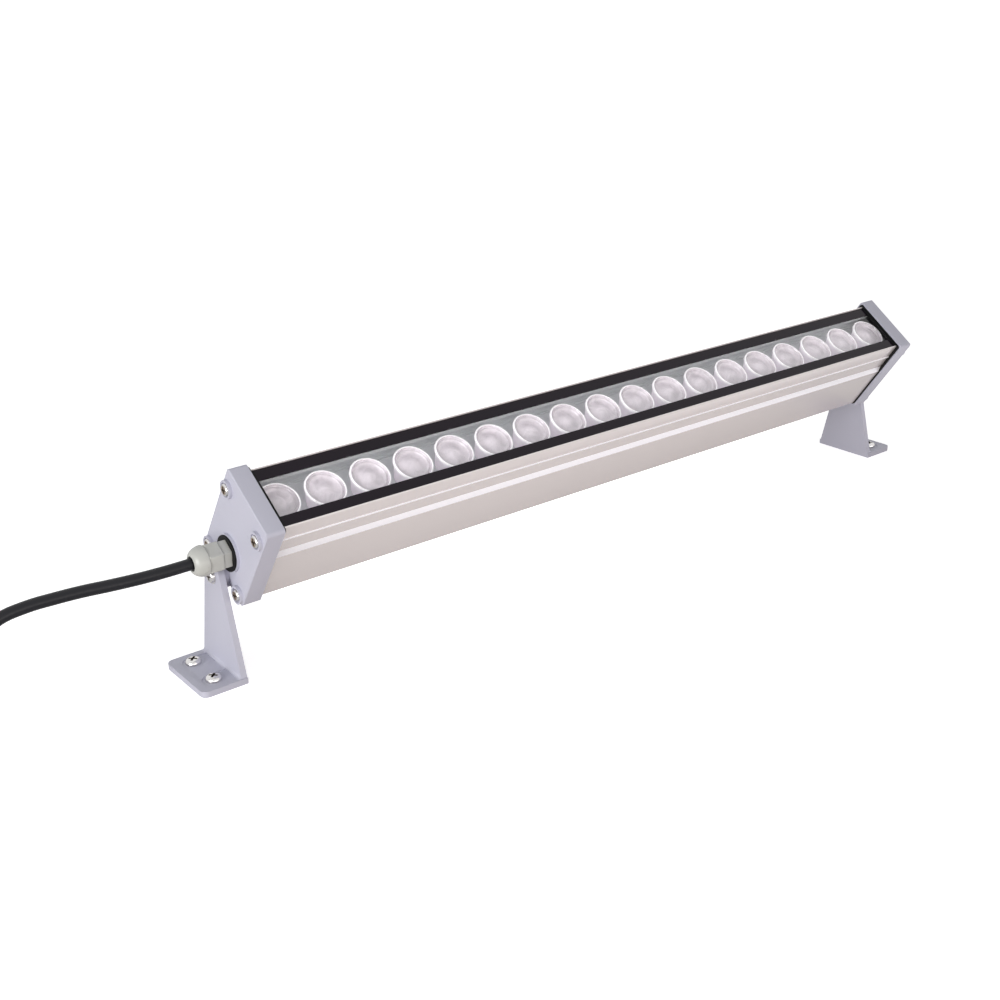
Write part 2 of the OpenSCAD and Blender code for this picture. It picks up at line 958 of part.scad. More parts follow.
function coil_point(turn) =
    let (a = coil_start_angle + 360 * turn, r = coil_outer_r - coil_pitch * turn)
    [coil_centre[0] + r * cos(a), coil_centre[1] + r * sin(a), coil_z];

// The spiral, with a straight length of one diameter before and after it
function coil_path() =
    let (turns = [for (i = [0:coil_turns * coil_steps]) coil_point(i / coil_steps)])
    let (first = coil_heading(0), last = coil_heading(coil_turns), n = len(turns))
    concat([turns[0] - cable_d * first], turns, [turns[n - 1] + cable_d * last]);

// Direction of the spiral, which runs inwards by one pitch a turn
function coil_heading(turn) =
    let (a = coil_start_angle + 360 * turn, r = coil_outer_r - coil_pitch * turn, inwards = coil_pitch / (2 * PI))
    unit([-r * sin(a) - inwards * cos(a), r * cos(a) - inwards * sin(a), 0]);

cable_end = coil_point(0) - (cable_d + cable_gap) * coil_heading(0);
cable_route = concat([cable_start], cable_points, [cable_end - cable_d * coil_heading(0), cable_end]);

module cable() {
    route = smooth(cable_route, 2);
    color("black")
        tube(route, [for (p = route) cable_d / 2], cable_sides);
}

module cable_coil() {
    path = coil_path();
    color("black")
        tube(path, [for (p = path) cable_d / 2], coil_sides);
}

// Least gap of the coil to itself, between points at least half a turn apart
function coil_gap() =
    let (path = coil_path(), n = len(path), apart = coil_steps / 2)
    min([for (i = [0:n - 1 - apart], j = [i + apart:n - 1]) norm(path[i] - path[j])]) - cable_d;

// Ties round both turns, on opposite sides of the coil
module cable_ties() {
    inner = [(coil_turns - 1) * coil_pitch + cable_d + 2 * tie_fit, cable_d + 2 * tie_fit];
    color("black")
        for (a = tie_angles) {
            middle = coil_outer_r - coil_pitch * ((a - coil_start_angle) / 360 + (coil_turns - 1) / 2);
            translate([coil_centre[0], coil_centre[1], coil_z])
                rotate([0, 0, a])
                    translate([middle, tie_w / 2, 0])
                        rotate([90, 0, 0]) {
                            linear_extrude(tie_w)
                                difference() {
                                    square([inner[0] + 2 * tie_t, inner[1] + 2 * tie_t - 2 * tie_fit], center = true);
                                    square([inner[0], inner[1] - tie_fit], center = true);
                                }
                            translate([inner[0] / 2 + tie_t - fit, -tie_head[1] / 2, (tie_w - tie_head[2]) / 2])
                                cube(tie_head);
                        }
        }
}

// Three insulated cores beyond the sheath, each with a bare tip
module cable_cores() {
    h = coil_heading(coil_turns);
    start = coil_point(coil_turns) + (cable_d + cable_gap) * h;
    inward = [-h[1], h[0], 0];
    steps = 8;
    for (k = [-1, 0, 1]) {
        turned = core_turns[k + 1];
        bend_r = core_l / turned * 180 / PI;
        from = start + (k * core_spread + core_shift) * inward;
        lift = (k == 0 ? core_spread : -core_spread / 2) * [0, 0, 1];
        drop = (core_d / 2 - coil_z) * [0, 0, 1];
        arc = [for (i = [0:steps])
            let (t = i / steps, a = turned * t)
            from + (core_straight + bend_r * sin(a)) * h + bend_r * (1 - cos(a)) * inward
            + lift * (1 - t) + drop * t * t * (3 - 2 * t)];
        tip_way = cos(turned) * h + sin(turned) * inward;
        color(["saddlebrown", "limegreen", "royalblue"][k + 1])
            tube(concat([from + lift], arc), [for (i = [0:steps + 1]) core_d / 2], core_sides);
        color("goldenrod")
            tube([arc[steps] - fit * tip_way, arc[steps] + core_tip_l * tip_way],
                 [core_tip_d / 2, core_tip_d / 2], core_sides);
    }
}

echo(str("coil's least gap to itself: ", coil_gap(), " mm"));

housing();
glass_cover();
glass_seal(-1);  // front_glass_seal
glass_seal(1);  // rear_glass_seal
led_board();
led_chips();
driver();
driver_leads();
supply_lead();
left_end_cap();
right_end_cap();
left_gasket();
right_gasket();
left_cap_screws();
right_cap_screws();
gland_washer();
gland_body();
gland_seal();
gland_nut();
gland_locknut();
left_pivot_screw();
right_pivot_screw();
left_pivot_washer();
right_pivot_washer();
left_bracket();
right_bracket();
left_foot_screws();
right_foot_screws();
cable();
cable_coil();
cable_ties();
cable_cores();
for (i = [1:lens_count])
    lens(i);
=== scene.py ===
"""A linear wall washer light for outdoors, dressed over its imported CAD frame.

Metres, +Z up. +X runs along the lamp, the light shines to -Y and up.
"""
import math

import bmesh
import bpy
from bpy.props import FloatProperty, FloatVectorProperty, PointerProperty
from mathutils import Matrix, Vector


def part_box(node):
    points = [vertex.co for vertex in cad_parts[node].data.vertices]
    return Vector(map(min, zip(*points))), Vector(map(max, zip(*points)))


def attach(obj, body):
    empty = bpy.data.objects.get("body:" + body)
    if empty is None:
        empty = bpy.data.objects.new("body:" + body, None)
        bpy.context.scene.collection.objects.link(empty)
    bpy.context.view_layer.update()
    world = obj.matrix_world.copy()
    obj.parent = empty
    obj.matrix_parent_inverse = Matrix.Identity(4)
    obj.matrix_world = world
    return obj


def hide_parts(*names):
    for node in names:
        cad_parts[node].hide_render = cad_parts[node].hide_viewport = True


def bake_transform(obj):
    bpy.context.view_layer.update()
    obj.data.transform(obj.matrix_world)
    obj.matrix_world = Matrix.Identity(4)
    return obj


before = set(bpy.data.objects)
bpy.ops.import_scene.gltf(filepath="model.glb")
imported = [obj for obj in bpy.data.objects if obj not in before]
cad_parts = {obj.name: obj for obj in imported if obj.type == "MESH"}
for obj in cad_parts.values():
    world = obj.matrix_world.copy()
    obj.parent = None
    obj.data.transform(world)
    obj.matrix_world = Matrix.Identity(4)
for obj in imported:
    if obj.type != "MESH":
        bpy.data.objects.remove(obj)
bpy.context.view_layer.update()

bl_info = {
    "name": "Wall washer light",
    "version": (1, 0, 0),
    "blender": (4, 5, 0),
    "location": "View3D > Sidebar > Washer",
    "description": "Dresses a linear wall washer light over its CAD frame",
    "category": "Object",
}

MM = 0.001

# The lamp head's own section: u runs from front to back, v away from the pivot axis towards the glass
LEAN = math.radians(35.4)
PIVOT = Vector((0, 15.2138, 55)) * MM
LAMP = Matrix.Translation(PIVOT) @ Matrix.Rotation(LEAN, 4, "X")
LAMP_HALF = 249.05 * MM
LENS_COUNT = 18
LENS_PITCH = 27 * MM
BOARD_TOP = 38.85 * MM
GLAND_RISE = 18 * MM

# Points closer than this are merged, and edges that turn by less than these angles are flat or shaded smooth
MERGE = 0.001 * MM
FLAT_WITHIN, SMOOTH_WITHIN = math.radians(0.4), math.radians(35)
# How far a point may lie beside a ring of a turned profile
ON_RING = 1e-7
# Upward part of a face's normal: less than STEEP on a wall, more than LEVEL on a top
STEEP, LEVEL = 0.1, 0.8


def linear(hex_colour):
    """An sRGB hex colour as linear red, green, blue and alpha."""
    parts = [int(hex_colour[i:i + 2], 16) / 255 for i in (0, 2, 4)]
    return [c / 12.92 if c <= 0.04045 else ((c + 0.055) / 1.055) ** 2.4 for c in parts] + [1.0]


def colour_of(name, hex_colour, description):
    """A colour in the sidebar."""
    return FloatVectorProperty(name=name, description=description, subtype="COLOR", size=4, min=0, max=1,
                               default=linear(hex_colour))


def length_of(name, millimetres, description, low, high):
    """A length in the sidebar, kept in metres."""
    return FloatProperty(name=name, description=description, default=millimetres * MM, min=low * MM, max=high * MM,
                         unit="LENGTH", precision=5)


class WasherSizes(bpy.types.PropertyGroup):
    """Sizes of the details that the frame leaves plain"""
    casting_edge: length_of("Casting edge", 0.6, "Rounding of the edges of the end caps and brackets", 0.2, 1)
    extrusion_edge: length_of("Extrusion edge", 0.25, "Rounding of the long edges of the housing", 0.05, 0.4)
    nylon_edge: length_of("Gland edge", 0.5, "Rounding of the gland's moulded edges", 0.1, 0.8)
    rim_width: length_of("Lens rim", 0.9, "Width of the bright rim round a lens", 0.5, 1.5)
    rim_rounding: length_of("Rim rounding", 0.3, "Rounding of the lens rim's edges", 0.05, 0.4)
    dish_depth: length_of("Lens dish", 2.2, "Depth of the trough round a lens's middle", 0.4, 3)
    cable_diameter: length_of("Cable", 6.2, "Diameter of the supply cable", 5.8, 6.4)
    recess_width: length_of("Recess", 1.1, "Width of a blade of the cross recesses", 0.5, 1.4)


class WasherColours(bpy.types.PropertyGroup):
    """Colours of the finishes"""
    casting: colour_of("Casting paint", "BEBECC", "Powder coat of the end caps and brackets")
    extrusion: colour_of("Extrusion", "E9E2E1", "Anodised skin of the housing")
    # Painted light: a lighter copy of the chamber's walls for their lower half
    lower_wall_painted_light: colour_of("Lower wall painted light", "D3D8D8", "Lower half of the chamber's walls")
    # Painted highlight: a lighter copy of the extrusion for its beads and shoulder slopes
    bead_painted_highlight: colour_of("Bead painted highlight", "F7F5FA", "Bright beads and shoulder slopes of the housing")
    # Painted shade: a greyer copy of the chamber's walls for their upper half
    chamber: colour_of("Upper wall painted shade", "C6CBCB", "Upper half of the chamber's walls")
    print_black: colour_of("Glass border", "130615", "Fired black border on the glass")
    rubber: colour_of("Rubber", "0A0A0B", "Gaskets and seals")
    glass: colour_of("Glass", "FDFDFD", "Toughened cover glass")
    mask: colour_of("Board", "E2E6E7", "Solder mask of the circuit board")
    phosphor: colour_of("Phosphor", "E3D26A", "Phosphor over the chips")
    lens: colour_of("Lens", "F6ECF7", "Frosted flanks of the lenses")
    face: colour_of("Lens face", "E3DAE3", "Faces of the lenses")
    # Painted glow: the lens rims are near white and give off light of their own
    rim: colour_of("Lens rim", "FCFAFF", "Bright rims of the lenses")
    nylon: colour_of("Gland nylon", "BABBB6", "Moulded parts of the cable gland")
    steel: colour_of("Screws", "E4E2E1", "Plated steel of the screws")
    sheath: colour_of("Cable sheath", "0B0B12", "Rubber sheath of the supply cable")
    tie: colour_of("Cable ties", "17171A", "Nylon of the cable ties")


# Shader and mesh helpers

def add(tree, kind, settings=None, **inputs):
    """Adds a node to a tree; an input is a value or the socket that feeds it."""
    node = tree.nodes.new(kind)
    for name, value in (settings or {}).items():
        setattr(node, name, value)
    for name, value in inputs.items():
        socket = node.inputs[int(name[1:]) if name[1:].isdigit() else name.replace("_", " ")]
        if isinstance(value, bpy.types.NodeSocket):
            tree.links.new(value, socket)
        else:
            socket.default_value = value
    return node


def finish_named(name, base, roughness, **constants):
    """A material with a Principled shader of one colour and roughness, and its tree to add to."""
    material = bpy.data.materials.new(name)
    material.use_nodes = True
    tree = material.node_tree
    tree.nodes.clear()
    shader = add(tree, "ShaderNodeBsdfPrincipled", None, Base_Color=list(base), Roughness=roughness, **constants)
    add(tree, "ShaderNodeOutputMaterial", None, Surface=shader.outputs[0])
    place = add(tree, "ShaderNodeTexCoord").outputs["Object"]
    return material, tree, shader, place


def noise(tree, place, grain, detail, **more):
    """A noise pattern from 0 to 1, with grains of so many millimetres."""
    node = add(tree, "ShaderNodeTexNoise", None, Vector=place, Scale=1 / (grain * MM), Detail=detail, **more)
    return node.outputs[0]


def tinted(tree, shader, pattern, base, dark):
    """Mixes the base colour towards a darker share of it by a pattern from 0 to 1."""
    low = [c * dark for c in base[:3]] + [1.0]
    mix = add(tree, "ShaderNodeMix", {"data_type": "RGBA"}, _0=pattern, _6=low, _7=list(base))
    tree.links.new(mix.outputs[2], shader.inputs["Base Color"])


def bumped(tree, shader, height, distance, strength):
    """Lets a pattern raise the surface by up to a distance."""
    bump = add(tree, "ShaderNodeBump", None, Strength=strength, Distance=distance, Height=height)
    tree.links.new(bump.outputs[0], shader.inputs["Normal"])


def rough_between(tree, shader, pattern, low, high):
    """Spreads the roughness between two values by a pattern from 0 to 1."""
    spread = add(tree, "ShaderNodeMapRange", None, _0=pattern, _3=low, _4=high)
    tree.links.new(spread.outputs[0], shader.inputs["Roughness"])


def mottled(name, base, roughness, grain, dark, **constants):
    """A finish of one colour that clouds towards a darker share of it, in grains of so many millimetres."""
    material, tree, shader, place = finish_named(name, base, roughness, **constants)
    tinted(tree, shader, noise(tree, place, grain, 2.0), base, dark)
    return material


def painted_casting(colours):
    # Powder-coated die-cast aluminium: pale lavender grey, satin, with the fine orange peel of a baked coat
    material, tree, shader, place = finish_named("powder_coated_casting", colours.casting, 0.42, IOR=1.5)
    peel = noise(tree, place, 1.4, 3.0, Roughness=0.55)
    cloud = noise(tree, place, 45, 2.0)
    tinted(tree, shader, cloud, colours.casting, 0.94)
    rough_between(tree, shader, peel, 0.36, 0.5)
    bumped(tree, shader, peel, 0.03 * MM, 0.5)
    return material


def anodised_extrusion(colours):
    # Satin anodised aluminium extrusion: warm silver with fine die lines along its length
    material, tree, shader, place = finish_named("anodised_aluminium_extrusion", colours.extrusion, 0.24,
                                                 Metallic=0.6)
    along = add(tree, "ShaderNodeMapping", None, Vector=place, Scale=(0.01, 1.0, 1.0))
    lines = noise(tree, along.outputs[0], 0.5, 4.0)
    cloud = noise(tree, place, 120, 2.0)
    tinted(tree, shader, cloud, colours.extrusion, 0.95)
    rough_between(tree, shader, lines, 0.22, 0.28)
    bumped(tree, shader, lines, 0.004 * MM, 0.3)
    return material


def bead_painted_highlight_finish(colours):
    # The beads along the lips and the slopes of the shoulders: a lighter copy of the skin, a painted highlight
    # where they face the light
    return mottled("painted_highlight_shoulder_bead", colours.bead_painted_highlight, 0.3, 40, 0.95, Metallic=0.3)


def lower_wall_painted_light_finish(colours):
    # The lower half of the chamber's walls: a lighter copy of the walls, painted light below the shade of the
    # ledge
    return mottled("painted_light_lower_chamber_wall", colours.lower_wall_painted_light, 0.45, 60, 0.97, Metallic=0.15)


def upper_wall_painted_shade_finish(colours):
    # The same anodising inside the light chamber, matt, painted greyer behind the glass: painted shade under the
    # ledge
    return mottled("painted_shade_upper_chamber_anodising", colours.chamber, 0.5, 60, 0.97, Metallic=0.2)


def toughened_glass(colours):
    # Toughened float glass: clear, with a faint green in its thickness
    material, tree, shader, place = finish_named("toughened_glass", colours.glass, 0.0, IOR=1.5,
                                                 Transmission_Weight=1.0)
    waves = noise(tree, place, 60, 1.0)
    bumped(tree, shader, waves, 0.02 * MM, 0.1)
    clear = add(tree, "ShaderNodeBsdfTransparent", None, Color=[0.95, 0.95, 0.95, 1.0])
    path = add(tree, "ShaderNodeLightPath")
    mix = add(tree, "ShaderNodeMixShader", None, _0=path.outputs["Is Shadow Ray"], _1=shader.outputs[0],
              _2=clear.outputs[0])
    tree.links.new(mix.outputs[0], next(n for n in tree.nodes if n.type == "OUTPUT_MATERIAL").inputs["Surface"])
    return material


def fired_border(colours):
    # Ceramic ink fired on glass: near-black, smooth and glossy, with faint pinholes
    material, tree, shader, place = finish_named("fired_black_border", colours.print_black, 0.14, IOR=1.5,
                                                 Specular_IOR_Level=0.2)
    pits = noise(tree, place, 6, 3.0)
    rough_between(tree, shader, pits, 0.1, 0.22)
    bumped(tree, shader, pits, 0.01 * MM, 0.2)
    return material


def moulded_rubber(colours):
    # Moulded EPDM: dull black, slightly uneven
    material, tree, shader, place = finish_named("moulded_rubber", colours.rubber, 0.5, IOR=1.5,
                                                 Specular_IOR_Level=0.18)
    grain = noise(tree, place, 0.8, 3.0)
    rough_between(tree, shader, grain, 0.42, 0.6)
    bumped(tree, shader, grain, 0.03 * MM, 0.4)
    return material


def solder_mask(colours):
    # Solder mask on an aluminium board: matt pale grey with a faint weave
    material, tree, shader, place = finish_named("white_solder_mask", colours.mask, 0.5, IOR=1.5)
    weave = noise(tree, place, 1.2, 2.0)
    tinted(tree, shader, weave, colours.mask, 0.96)
    bumped(tree, shader, weave, 0.02 * MM, 0.3)
    return material


def chip_phosphor(colours):
    # Silicone with phosphor over the chips: soft yellow domes
    return mottled("phosphor_silicone", colours.phosphor, 0.3, 0.3, 0.85, IOR=1.41, Subsurface_Weight=0.3,
                   Subsurface_Radius=[1.0, 0.8, 0.4], Subsurface_Scale=0.5 * MM)


def frosted_lens_painted_glow(colours):
    # Frosted polycarbonate of a lens's flank: milky, with a painted glow (emission) in place of the light that
    # comes in by the face
    material, tree, shader, place = finish_named("frosted_polycarbonate_painted_glow", colours.lens, 0.35, IOR=1.58,
                                                 Subsurface_Weight=1.0, Subsurface_Radius=[1.0, 1.0, 1.0],
                                                 Subsurface_Scale=7 * MM, Emission_Color=[1.0, 0.9, 1.0, 1.0],
                                                 Emission_Strength=0.17)
    frost = noise(tree, place, 4, 3.0)
    rough_between(tree, shader, frost, 0.3, 0.45)
    bumped(tree, shader, frost, 0.05 * MM, 0.3)
    return material


def lens_face_painted_sheen(colours):
    # The moulded face of a lens: pearly and smooth, clouded towards a darker share in soft swirls: a painted sheen
    # in place of soft highlights
    material, tree, shader, place = finish_named("pearly_lens_face_painted_sheen", colours.face, 0.2, IOR=1.58,
                                                 Subsurface_Weight=0.15, Subsurface_Radius=[1.0, 1.0, 1.0],
                                                 Subsurface_Scale=1 * MM, Coat_Weight=1.0, Coat_Roughness=0.06)
    flow = noise(tree, place, 7, 2.0, Distortion=1.5)
    spread = add(tree, "ShaderNodeMapRange", None, _0=flow, _1=0.3, _2=0.7)
    # The clouding is painted sheen
    tinted(tree, shader, spread.outputs[0], colours.face, 0.8)
    bumped(tree, shader, flow, 0.3 * MM, 0.5)
    return material


def rim_painted_glow_finish(colours):
    # The same polycarbonate on the rim, painted near white with a painted glow (emission) in place of the light
    # that the rim gathers
    return mottled("painted_glow_polycarbonate_rim", colours.rim, 0.18, 5, 0.95, IOR=1.58, Subsurface_Weight=0.2,
                   Subsurface_Radius=[1.0, 1.0, 1.0], Subsurface_Scale=2 * MM,
                   Emission_Color=[1, 0.97, 1, 1], Emission_Strength=0.24)


def moulded_nylon(colours):
    # Injection-moulded nylon: grey, semi-gloss, slightly waxy
    material, tree, shader, place = finish_named("moulded_nylon", colours.nylon, 0.3, IOR=1.53,
                                                 Subsurface_Weight=0.1, Subsurface_Radius=[1.0, 1.0, 1.0],
                                                 Subsurface_Scale=1 * MM)
    flow = noise(tree, place, 5, 3.0)
    tinted(tree, shader, flow, colours.nylon, 0.94)
    rough_between(tree, shader, flow, 0.24, 0.36)
    bumped(tree, shader, flow, 0.04 * MM, 0.3)
    return material


def plated_steel(colours):
    # Nickel-plated steel: bright, with fine turning marks
    material, tree, shader, place = finish_named("nickel_plated_steel", colours.steel, 0.14, Metallic=1.0)
    marks = noise(tree, place, 0.7, 3.0)
    tinted(tree, shader, marks, colours.steel, 0.9)
    rough_between(tree, shader, marks, 0.1, 0.2)
    bumped(tree, shader, marks, 0.02 * MM, 0.25)
    return material


def recess_shade_and_bronze():
    # The same plating inside a cross recess: a little bronze, and painted dark as the shade in the recess
    return mottled("dull_recess_plating", linear("756A5F"), 0.42, 0.5, 0.7, Metallic=0.8)


def head_shade_and_bronze():
    # The flat of a cap screw's head: a little bronze, and painted darker as shade, inside its bright edge
    return mottled("bronze_painted_shade_head_plating", linear("B5A493"), 0.36, 0.6, 0.75, Metallic=0.7)


def cable_rubber(colours):
    # Extruded rubber sheath: black with a bluish cast, semi-matt, faintly wavy
    material, tree, shader, place = finish_named("rubber_sheath", colours.sheath, 0.4, IOR=1.5,
                                                 Specular_IOR_Level=0.35)
    wave = noise(tree, place, 3, 3.0)
    rough_between(tree, shader, wave, 0.34, 0.46)
    bumped(tree, shader, wave, 0.05 * MM, 0.3)
    return material


def tie_nylon(colours):
    # Nylon strap: black and smooth
    material, tree, shader, place = finish_named("tie_nylon", colours.tie, 0.35, IOR=1.53)
    grain = noise(tree, place, 0.6, 2.0)
    bumped(tree, shader, grain, 0.02 * MM, 0.3)
    return material


def core_insulation(name, hex_colour):
    # PVC insulation of one core: even colour, semi-matt
    return mottled(name, linear(hex_colour), 0.4, 1.5, 0.85, IOR=1.52)


def tinned_strands():
    # Tinned copper strands, twisted
    base = linear("C9C4BC")
    material, tree, shader, place = finish_named("tinned_copper", base, 0.3, Metallic=1.0)
    strands = add(tree, "ShaderNodeTexWave", None, Vector=place, Scale=1 / (2 * MM), Distortion=1.0)
    bumped(tree, shader, strands.outputs[1], 0.1 * MM, 0.6)
    return material


def driver_paint():
    # Cast aluminium box of the driver: dark grey and grainy
    base = linear("4A4C4F")
    material, tree, shader, place = finish_named("driver_housing_paint", base, 0.55, IOR=1.5)
    grain = noise(tree, place, 1, 3.0)
    tinted(tree, shader, grain, base, 0.8)
    bumped(tree, shader, grain, 0.05 * MM, 0.5)
    return material


# Finishes in the sidebar's colours, finishes in colours of their own, and the insulation of wires
COLOURED = {
    "casting": painted_casting, "extrusion": anodised_extrusion, "bead_painted_highlight": bead_painted_highlight_finish, "lower_wall_painted_light": lower_wall_painted_light_finish,
    "chamber": upper_wall_painted_shade_finish, "glass": toughened_glass, "border": fired_border, "rubber": moulded_rubber,
    "mask": solder_mask, "phosphor": chip_phosphor, "lens": frosted_lens_painted_glow, "face": lens_face_painted_sheen,
    "rim": rim_painted_glow_finish, "nylon": moulded_nylon, "steel": plated_steel, "sheath": cable_rubber,
    "tie": tie_nylon,
}
FIXED = {"recess": recess_shade_and_bronze, "head_painted_shade": head_shade_and_bronze, "tinned": tinned_strands, "driver": driver_paint}
WIRES = {"brown": ("brown_core_insulation", "5A3A22"), "green": ("green_yellow_core_insulation", "7C9A2C"),
         "blue": ("blue_core_insulation", "2B57A6"), "red": ("red_lead_insulation", "A3201C")}
FINISHES = {}


def materials():
    """Every finish, made once and kept by name."""
    if not FINISHES:
        colours = bpy.context.scene.washer_colours
        FINISHES.update({name: make(colours) for name, make in COLOURED.items()})
        FINISHES.update({name: make() for name, make in FIXED.items()})
        FINISHES.update({name: core_insulation(*look) for name, look in WIRES.items()})
    return FINISHES


def also(piece, *finishes):
    """Adds further finishes to a piece, for its faces with the indices 1, 2 and so on."""
    for finish in finishes:
        piece.data.materials.append(materials()[finish])


def dress(node, finish):
    """Gives a CAD node that stays a better material."""
    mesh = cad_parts[node].data
    mesh.materials.clear()
    mesh.materials.append(materials()[finish])


def piece_from(bm, name, finish, body, stands_for):
    """Makes an object of a bmesh in place of CAD nodes, and lets it ride on a body where one is given."""
    mesh = bpy.data.meshes.new(name)
    bm.to_mesh(mesh)
    bm.free()
    mesh.polygons.foreach_set("use_smooth", [True] * len(mesh.polygons))
    mesh.set_sharp_from_angle(angle=SMOOTH_WITHIN)
    mesh.materials.append(materials()[finish])
    piece = bpy.data.objects.new(name, mesh)
    bpy.context.scene.collection.objects.link(piece)
    if body:
        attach(piece, body)
    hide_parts(*stands_for)
    return piece


def merged_copy(node):
    """A bmesh of a CAD node's mesh, merged, with its flat faces made whole."""
    bm = bmesh.new()
    bm.from_mesh(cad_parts[node].data)
    bmesh.ops.remove_doubles(bm, verts=bm.verts, dist=MERGE)
    bmesh.ops.dissolve_limit(bm, angle_limit=FLAT_WITHIN, verts=bm.verts, edges=bm.edges,
                             use_dissolve_boundaries=False)
    return bm


def soften(piece, width, angle=35, segments=3):
    """Rounds the sharp edges of a piece."""
    bevel = piece.modifiers.new("Soft edges", "BEVEL")
    bevel.width, bevel.segments, bevel.limit_method = width, segments, "ANGLE"
    bevel.angle_limit = math.radians(angle)
    bevel.harden_normals = True
    bevel.miter_outer = "MITER_ARC"


def turned(profile, steps, segments):
    """A solid turned about Z from rows of radius, height and rounding in metres, from its start to its end."""
    bm = bmesh.new()
    verts = [bm.verts.new((r, 0, z)) for r, z, _ in profile]
    edges = [bm.edges.new(pair) for pair in zip(verts, verts[1:])]
    bmesh.ops.spin(bm, geom=verts + edges, cent=(0, 0, 0), axis=(0, 0, 1), dvec=(0, 0, 0), angle=math.tau,
                   steps=steps, use_merge=True)
    bmesh.ops.remove_doubles(bm, verts=bm.verts, dist=MERGE / 2)
    for r, z, rounding in profile:
        if rounding:
            ring = [e for e in bm.edges
                    if all(abs(v.co.z - z) < ON_RING and abs(v.co.xy.length - r) < ON_RING for v in e.verts)]
            bmesh.ops.bevel(bm, geom=ring, offset=rounding, offset_type="OFFSET", affect="EDGES",
                            segments=segments, profile=0.5, material=-1, clamp_overlap=True)
    bmesh.ops.recalc_face_normals(bm, faces=bm.faces)
    return bm


def placed(bm, matrix):
    """Moves a bmesh and gives it back."""
    bmesh.ops.transform(bm, matrix=matrix, verts=bm.verts)
    return bm


def joined(parts):
    """One bmesh of several, which are freed."""
    whole = bmesh.new()
    for part in parts:
        mesh = bpy.data.meshes.new("part")
        part.to_mesh(mesh)
        part.free()
        whole.from_mesh(mesh)
        bpy.data.meshes.remove(mesh)
    return whole


def box(size, centre):
    """A box of a size about its centre, as a bmesh."""
    bm = bmesh.new()
    bmesh.ops.create_cube(bm, size=1, matrix=Matrix.Translation(centre) @ Matrix.Diagonal((*size, 1)))
    return bm


def carved(body, cutter):
    """Cuts one bmesh out of another with an exact boolean, and gives the result back as a bmesh."""
    holders = []
    for bm in (body, cutter):
        mesh = bpy.data.meshes.new("carving")
        bm.to_mesh(mesh)
        bm.free()
        holders.append(bpy.data.objects.new("carving", mesh))
        bpy.context.scene.collection.objects.link(holders[-1])
    cut = holders[0].modifiers.new("Cut", "BOOLEAN")
    cut.object, cut.operation, cut.solver = holders[1], "DIFFERENCE", "EXACT"
    bpy.context.view_layer.update()
    mesh = bpy.data.meshes.new_from_object(holders[0].evaluated_get(bpy.context.evaluated_depsgraph_get()))
    result = bmesh.new()
    result.from_mesh(mesh)
    for holder in holders:
        bpy.data.objects.remove(holder)
    bpy.data.meshes.remove(mesh)
    return result


# Screws

# Shank's radius and length, head's radius and height
CAP_SCREW = 1.5 * MM, 15.8 * MM, 3.4 * MM, 1.65 * MM
PIVOT_SCREW = 2 * MM, 12 * MM, 3.7 * MM, 1.7 * MM
FOOT_SCREW = 2.5 * MM, 2.6 * MM, 4.3 * MM, 3.2 * MM
# The foot screws' recesses are wider by this factor
FOOT_BLADE = 1.2
# Seats of the heads beyond the lamp's ends, places of the cap screws in u and v and of the foot screws along Y
CAP_SEAT, PIVOT_SEAT = 0.9 * MM, 7.15 * MM
CAP_SCREWS_U, CAP_SCREWS_V = (-16.6 * MM, 16.6 * MM), (2.8 * MM, 50.45 * MM)
FOOT_SCREWS_Y = -11.8 * MM, 11.8 * MM
# The flat of a cap screw's head that is bronze with painted shade
HEAD_SHADE_RADIUS = 2.5 * MM
# Indices of a screw's finishes
PLATING, RECESS_PAINTED_SHADE, HEAD_PAINTED_SHADE = 0, 1, 2


def cross_screw(shank_radius, shank_length, head_radius, head_height, blade):
    """A pan-head screw with a cross recess: its head stands on z = 0 and its shank hangs below."""
    bm = turned([(0, -shank_length, 0), (shank_radius, -shank_length, 0.2 * MM), (shank_radius, 0, 0),
                 (head_radius, 0, 0), (head_radius, 0.9 * head_height, 0.62 * head_height),
                 (0, head_height, 0)], steps=40, segments=5)
    depth = 0.55 * head_height
    reach = 0.56 * head_radius
    for turn in (45, 135):
        cutter = box((2 * reach, blade, 2 * depth), (0, 0, head_height))
        bm = carved(bm, placed(cutter, Matrix.Rotation(math.radians(turn), 4, "Z")))
    bm.normal_update()
    for f in bm.faces:
        centre = f.calc_center_median()
        # The head's own edge is further out, and its top is above the recess's floor
        inside = 0 < centre.z and centre.xy.length < reach + 0.1 * head_radius
        if inside and (abs(f.normal.z) < STEEP or centre.z < head_height - 0.9 * depth):
            # These faces get the recess's painted shade
            f.material_index = RECESS_PAINTED_SHADE
    return bm


def painted_shade_top(bm, radius):
    """Gives the flat of a screw's head its bronze finish with painted shade, inside the bright ring of its edge.
    """
    for f in bm.faces:
        if f.material_index == PLATING and f.normal.z > LEVEL and f.calc_center_median().xy.length < radius:
            # The flat inside the edge gets the bronze and painted shade
            f.material_index = HEAD_PAINTED_SHADE
    return bm


def outwards(side, x, u, v):
    """Puts a piece drawn along Z at a point of the lamp head's end, pointing away from it."""
    turn = Matrix.Rotation(math.radians(90 * side), 4, "Y")
    return LAMP @ Matrix.Translation((side * (LAMP_HALF + x), u, v)) @ turn


